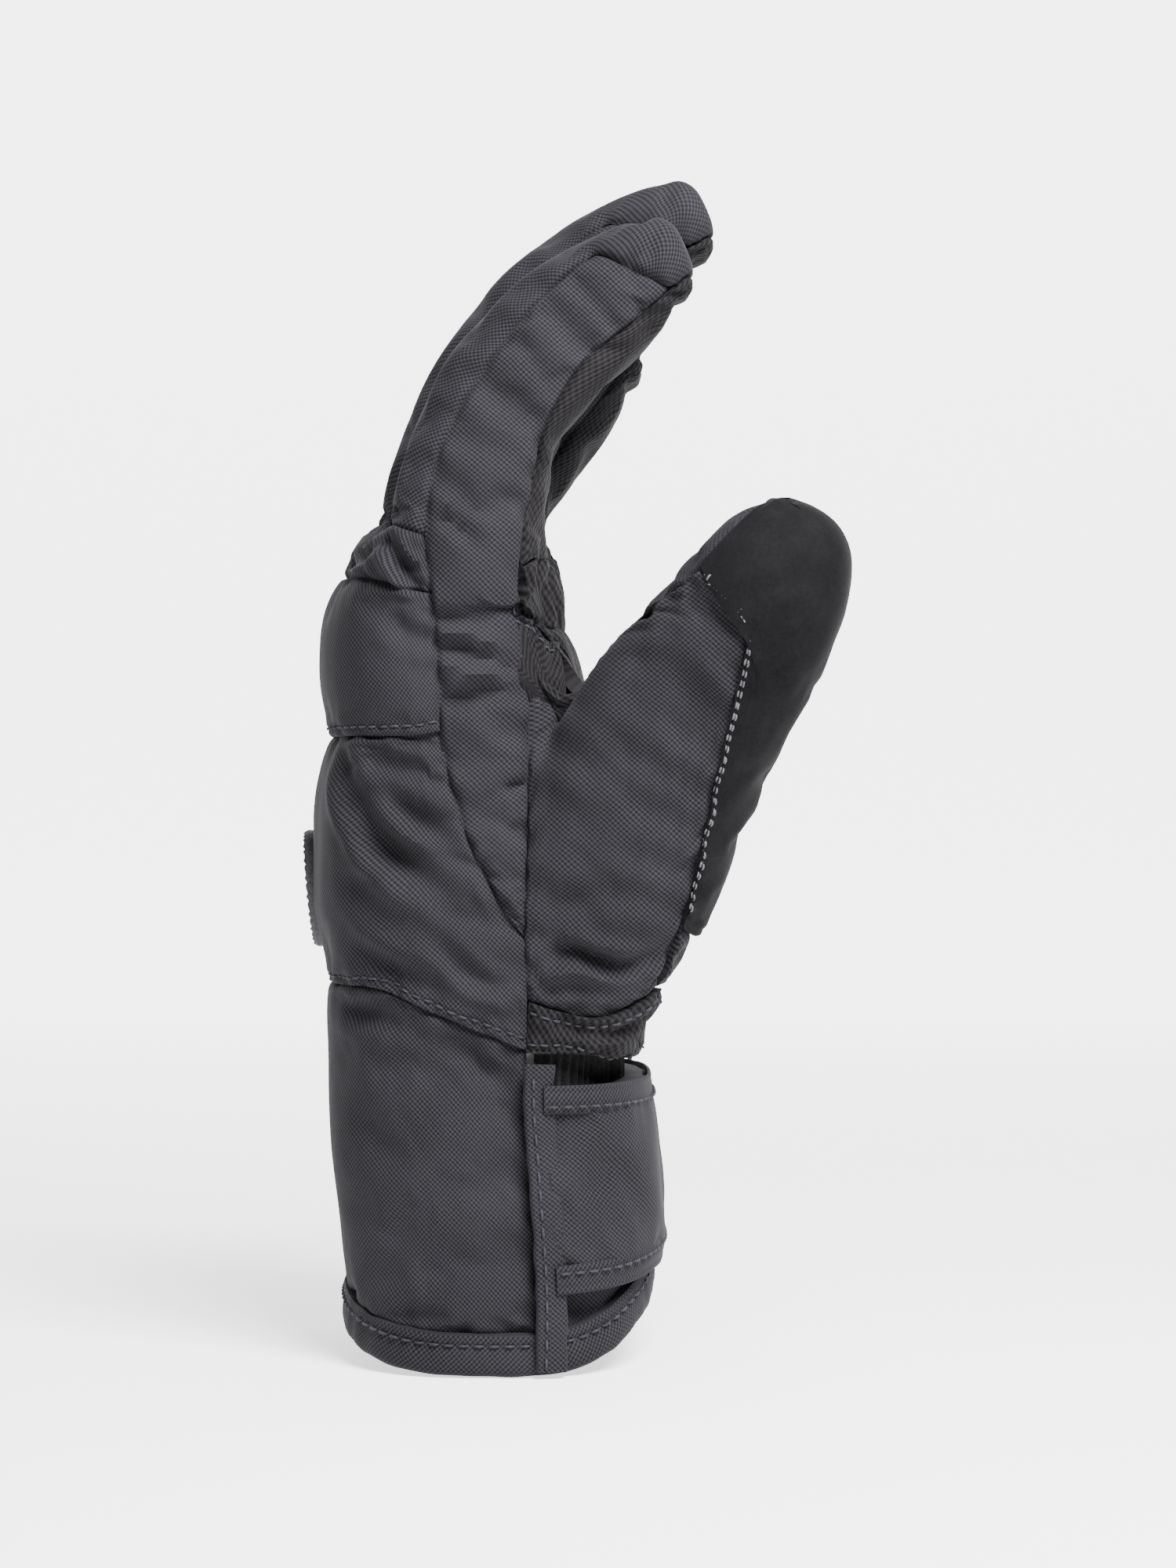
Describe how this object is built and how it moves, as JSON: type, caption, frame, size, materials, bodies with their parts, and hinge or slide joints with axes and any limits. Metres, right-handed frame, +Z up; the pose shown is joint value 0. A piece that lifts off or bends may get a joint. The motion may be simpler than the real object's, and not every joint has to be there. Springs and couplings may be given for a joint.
{
  "type": "ski glove",
  "caption": "Padded winter sports glove for the left hand, with curved fingers that bend, a spread thumb and a hook-and-loop closing flap on a long cuff.",
  "frame": {"origin": "centre of the cuff's mouth, in the plane of the hem", "axes": "+Z up the glove towards the fingertips, +X out of the palm, -Y towards the index finger and thumb"},
  "size_m": [0.1237, 0.1276, 0.2799],
  "materials": {
    "shell_cloth": "matt charcoal twill-woven polyester",
    "palm_cloth": "matt coarse basket-woven nylon with a grippy coat",
    "suede": "brushed black synthetic suede",
    "binding": "matt charcoal woven binding",
    "lining_fleece": "soft brushed dark fleece",
    "insulation": "white polyester wadding",
    "foam": "closed-cell foam padding",
    "elastic": "gathered black elastic",
    "loop_tape": "matt black loop tape",
    "hook_tape": "black nylon hook tape",
    "badge": "stitched blank badge with an overlocked rim"
  },
  "bodies": {
    "hand": {"back_panel": "shell_cloth", "knuckle_panel": "shell_cloth", "yoke_panel": "shell_cloth", "index_gusset": "shell_cloth", "little_gusset": "shell_cloth", "finger_root_panel": "palm_cloth", "palm_panel": "palm_cloth", "wrist_palm_panel": "palm_cloth", "thumb_root_front": "shell_cloth", "thumb_root_inner": "palm_cloth", "thumb_root_outer": "shell_cloth", "thumb_root_rear": "palm_cloth", "cuff_back": "shell_cloth", "cuff_palm": "shell_cloth", "hem_binding": "binding", "side_binding": "binding", "loop_patch": "loop_tape", "heel_tab": "palm_cloth", "wrist_elastic": "elastic", "badge_patch": "badge", "knuckle_foam": "foam", "insulation_back": "insulation", "insulation_palm": "insulation", "lining_back": "lining_fleece", "lining_palm": "lining_fleece", "cuff_lining": "lining_fleece"},
    "flap": {"flap_panel": "shell_cloth", "flap_binding": "binding", "hook_patch": "hook_tape"},
    "thumb": {"thumb_front": "shell_cloth", "thumb_inner": "shell_cloth", "thumb_suede": "suede", "thumb_rear": "palm_cloth"},
    "index_base": {"index_base_back": "shell_cloth", "index_base_walls": "shell_cloth", "index_base_palm": "palm_cloth"},
    "index_end": {"index_end_back": "shell_cloth", "index_end_walls": "shell_cloth", "index_end_palm": "palm_cloth"},
    "middle_base": {"middle_base_back": "shell_cloth", "middle_base_walls": "shell_cloth", "middle_base_palm": "palm_cloth"},
    "middle_end": {"middle_end_back": "shell_cloth", "middle_end_walls": "shell_cloth", "middle_end_palm": "palm_cloth"},
    "ring_base": {"ring_base_back": "shell_cloth", "ring_base_walls": "shell_cloth", "ring_base_palm": "palm_cloth"},
    "ring_end": {"ring_end_back": "shell_cloth", "ring_end_walls": "shell_cloth", "ring_end_palm": "palm_cloth"},
    "little_base": {"little_base_back": "shell_cloth", "little_base_walls": "shell_cloth", "little_base_palm": "palm_cloth"},
    "little_end": {"little_end_back": "shell_cloth", "little_end_walls": "shell_cloth", "little_end_palm": "palm_cloth"}
  },
  "joints": [
    {"name": "flap_open", "type": "hinge", "parent": "hand", "child": "flap", "pos_m": [0.0136, -0.0496, 0.043], "axis": [0, 0, -1], "range_deg": [0, 100]},
    {"name": "thumb_bend", "type": "hinge", "parent": "hand", "child": "thumb", "pos_m": [0.04, -0.045, 0.148], "axis": [0, -0.9135, -0.4067], "range_deg": [-12, 25], "stiffness_Nm_per_rad": 0.35},
    {"name": "index_bend", "type": "hinge", "parent": "hand", "child": "index_base", "pos_m": [-0.0092, -0.03823, 0.19398], "axis": [0, 0.9998, 0.0175], "range_deg": [-10, 30], "stiffness_Nm_per_rad": 0.35},
    {"name": "index_middle_bend", "type": "hinge", "parent": "index_base", "child": "index_end", "pos_m": [0.00747, -0.03891, 0.23285], "axis": [0, 0.9998, 0.0175], "range_deg": [-12, 35]},
    {"name": "middle_bend", "type": "hinge", "parent": "hand", "child": "middle_base", "pos_m": [-0.0131, -0.0121, 0.19398], "axis": [0, 1, 0], "range_deg": [-10, 30], "stiffness_Nm_per_rad": 0.35},
    {"name": "middle_middle_bend", "type": "hinge", "parent": "middle_base", "child": "middle_end", "pos_m": [0.00685, -0.0121, 0.24075], "axis": [0, 1, 0], "range_deg": [-12, 35]},
    {"name": "ring_bend", "type": "hinge", "parent": "hand", "child": "ring_base", "pos_m": [-0.0121, 0.01345, 0.19098], "axis": [0, 0.9997, -0.0262], "range_deg": [-10, 30], "stiffness_Nm_per_rad": 0.35},
    {"name": "ring_middle_bend", "type": "hinge", "parent": "ring_base", "child": "ring_end", "pos_m": [0.0065, 0.01459, 0.23449], "axis": [0, 0.9997, -0.0262], "range_deg": [-12, 35]},
    {"name": "little_bend", "type": "hinge", "parent": "hand", "child": "little_base", "pos_m": [-0.0087, 0.03744, 0.18497], "axis": [0, 0.9976, -0.0698], "range_deg": [-10, 30], "stiffness_Nm_per_rad": 0.35},
    {"name": "little_middle_bend", "type": "hinge", "parent": "little_base", "child": "little_end", "pos_m": [0.00624, 0.03986, 0.21959], "axis": [0, 0.9976, -0.0698], "range_deg": [-12, 35]}
  ],
  "couplings": [
    {"joint": "index_middle_bend", "follows": "index_bend", "ratio": 1.1666},
    {"joint": "middle_middle_bend", "follows": "middle_bend", "ratio": 1.1666},
    {"joint": "ring_middle_bend", "follows": "ring_bend", "ratio": 1.1666},
    {"joint": "little_middle_bend", "follows": "little_bend", "ratio": 1.1666}
  ]
}
